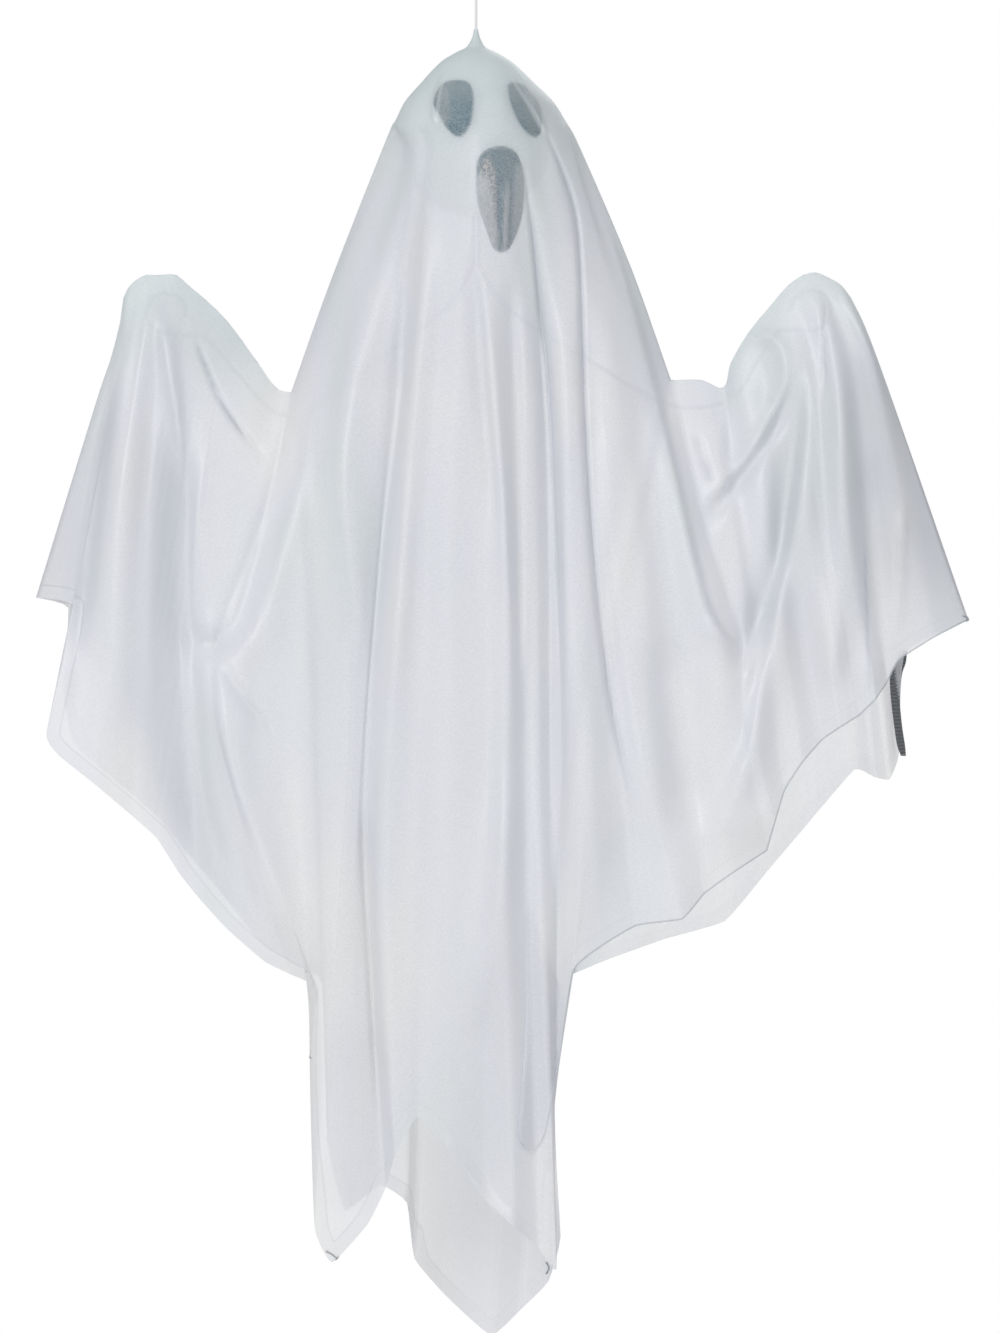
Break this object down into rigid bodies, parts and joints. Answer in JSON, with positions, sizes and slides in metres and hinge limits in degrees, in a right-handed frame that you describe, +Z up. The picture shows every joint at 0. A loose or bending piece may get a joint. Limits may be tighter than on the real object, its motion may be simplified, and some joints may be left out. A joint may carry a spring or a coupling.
{
  "type": "hanging ghost decoration",
  "caption": "Hanging ghost: thin white cloth draped over a round head and raised arms, with eyes and an open mouth showing through, on a cord with a loop.",
  "frame": {"origin": "underside of the top of the hanging loop, where a hook bears", "axes": "+Z up along the cord, the face looks along -Y, +X to the right as seen from the front"},
  "size_m": [0.373, 0.1172, 0.576],
  "materials": {
    "cloth_white": "thin silky woven cloth, slightly see-through",
    "patch_grey": "dull dark fabric behind the cloth",
    "foam_white": "foam beads",
    "wire_white": "white coated wire",
    "cord_grey": "twisted thread"
  },
  "bodies": {
    "root": {"ghost_cloth": "cloth_white", "left_eye": "patch_grey", "right_eye": "patch_grey", "mouth": "patch_grey", "head_ball": "foam_white", "wire_frame": "wire_white", "tie_knot": "cord_grey", "hanging_cord": "cord_grey", "loop_knot": "cord_grey", "hanging_loop": "cord_grey"}
  },
  "joints": []
}
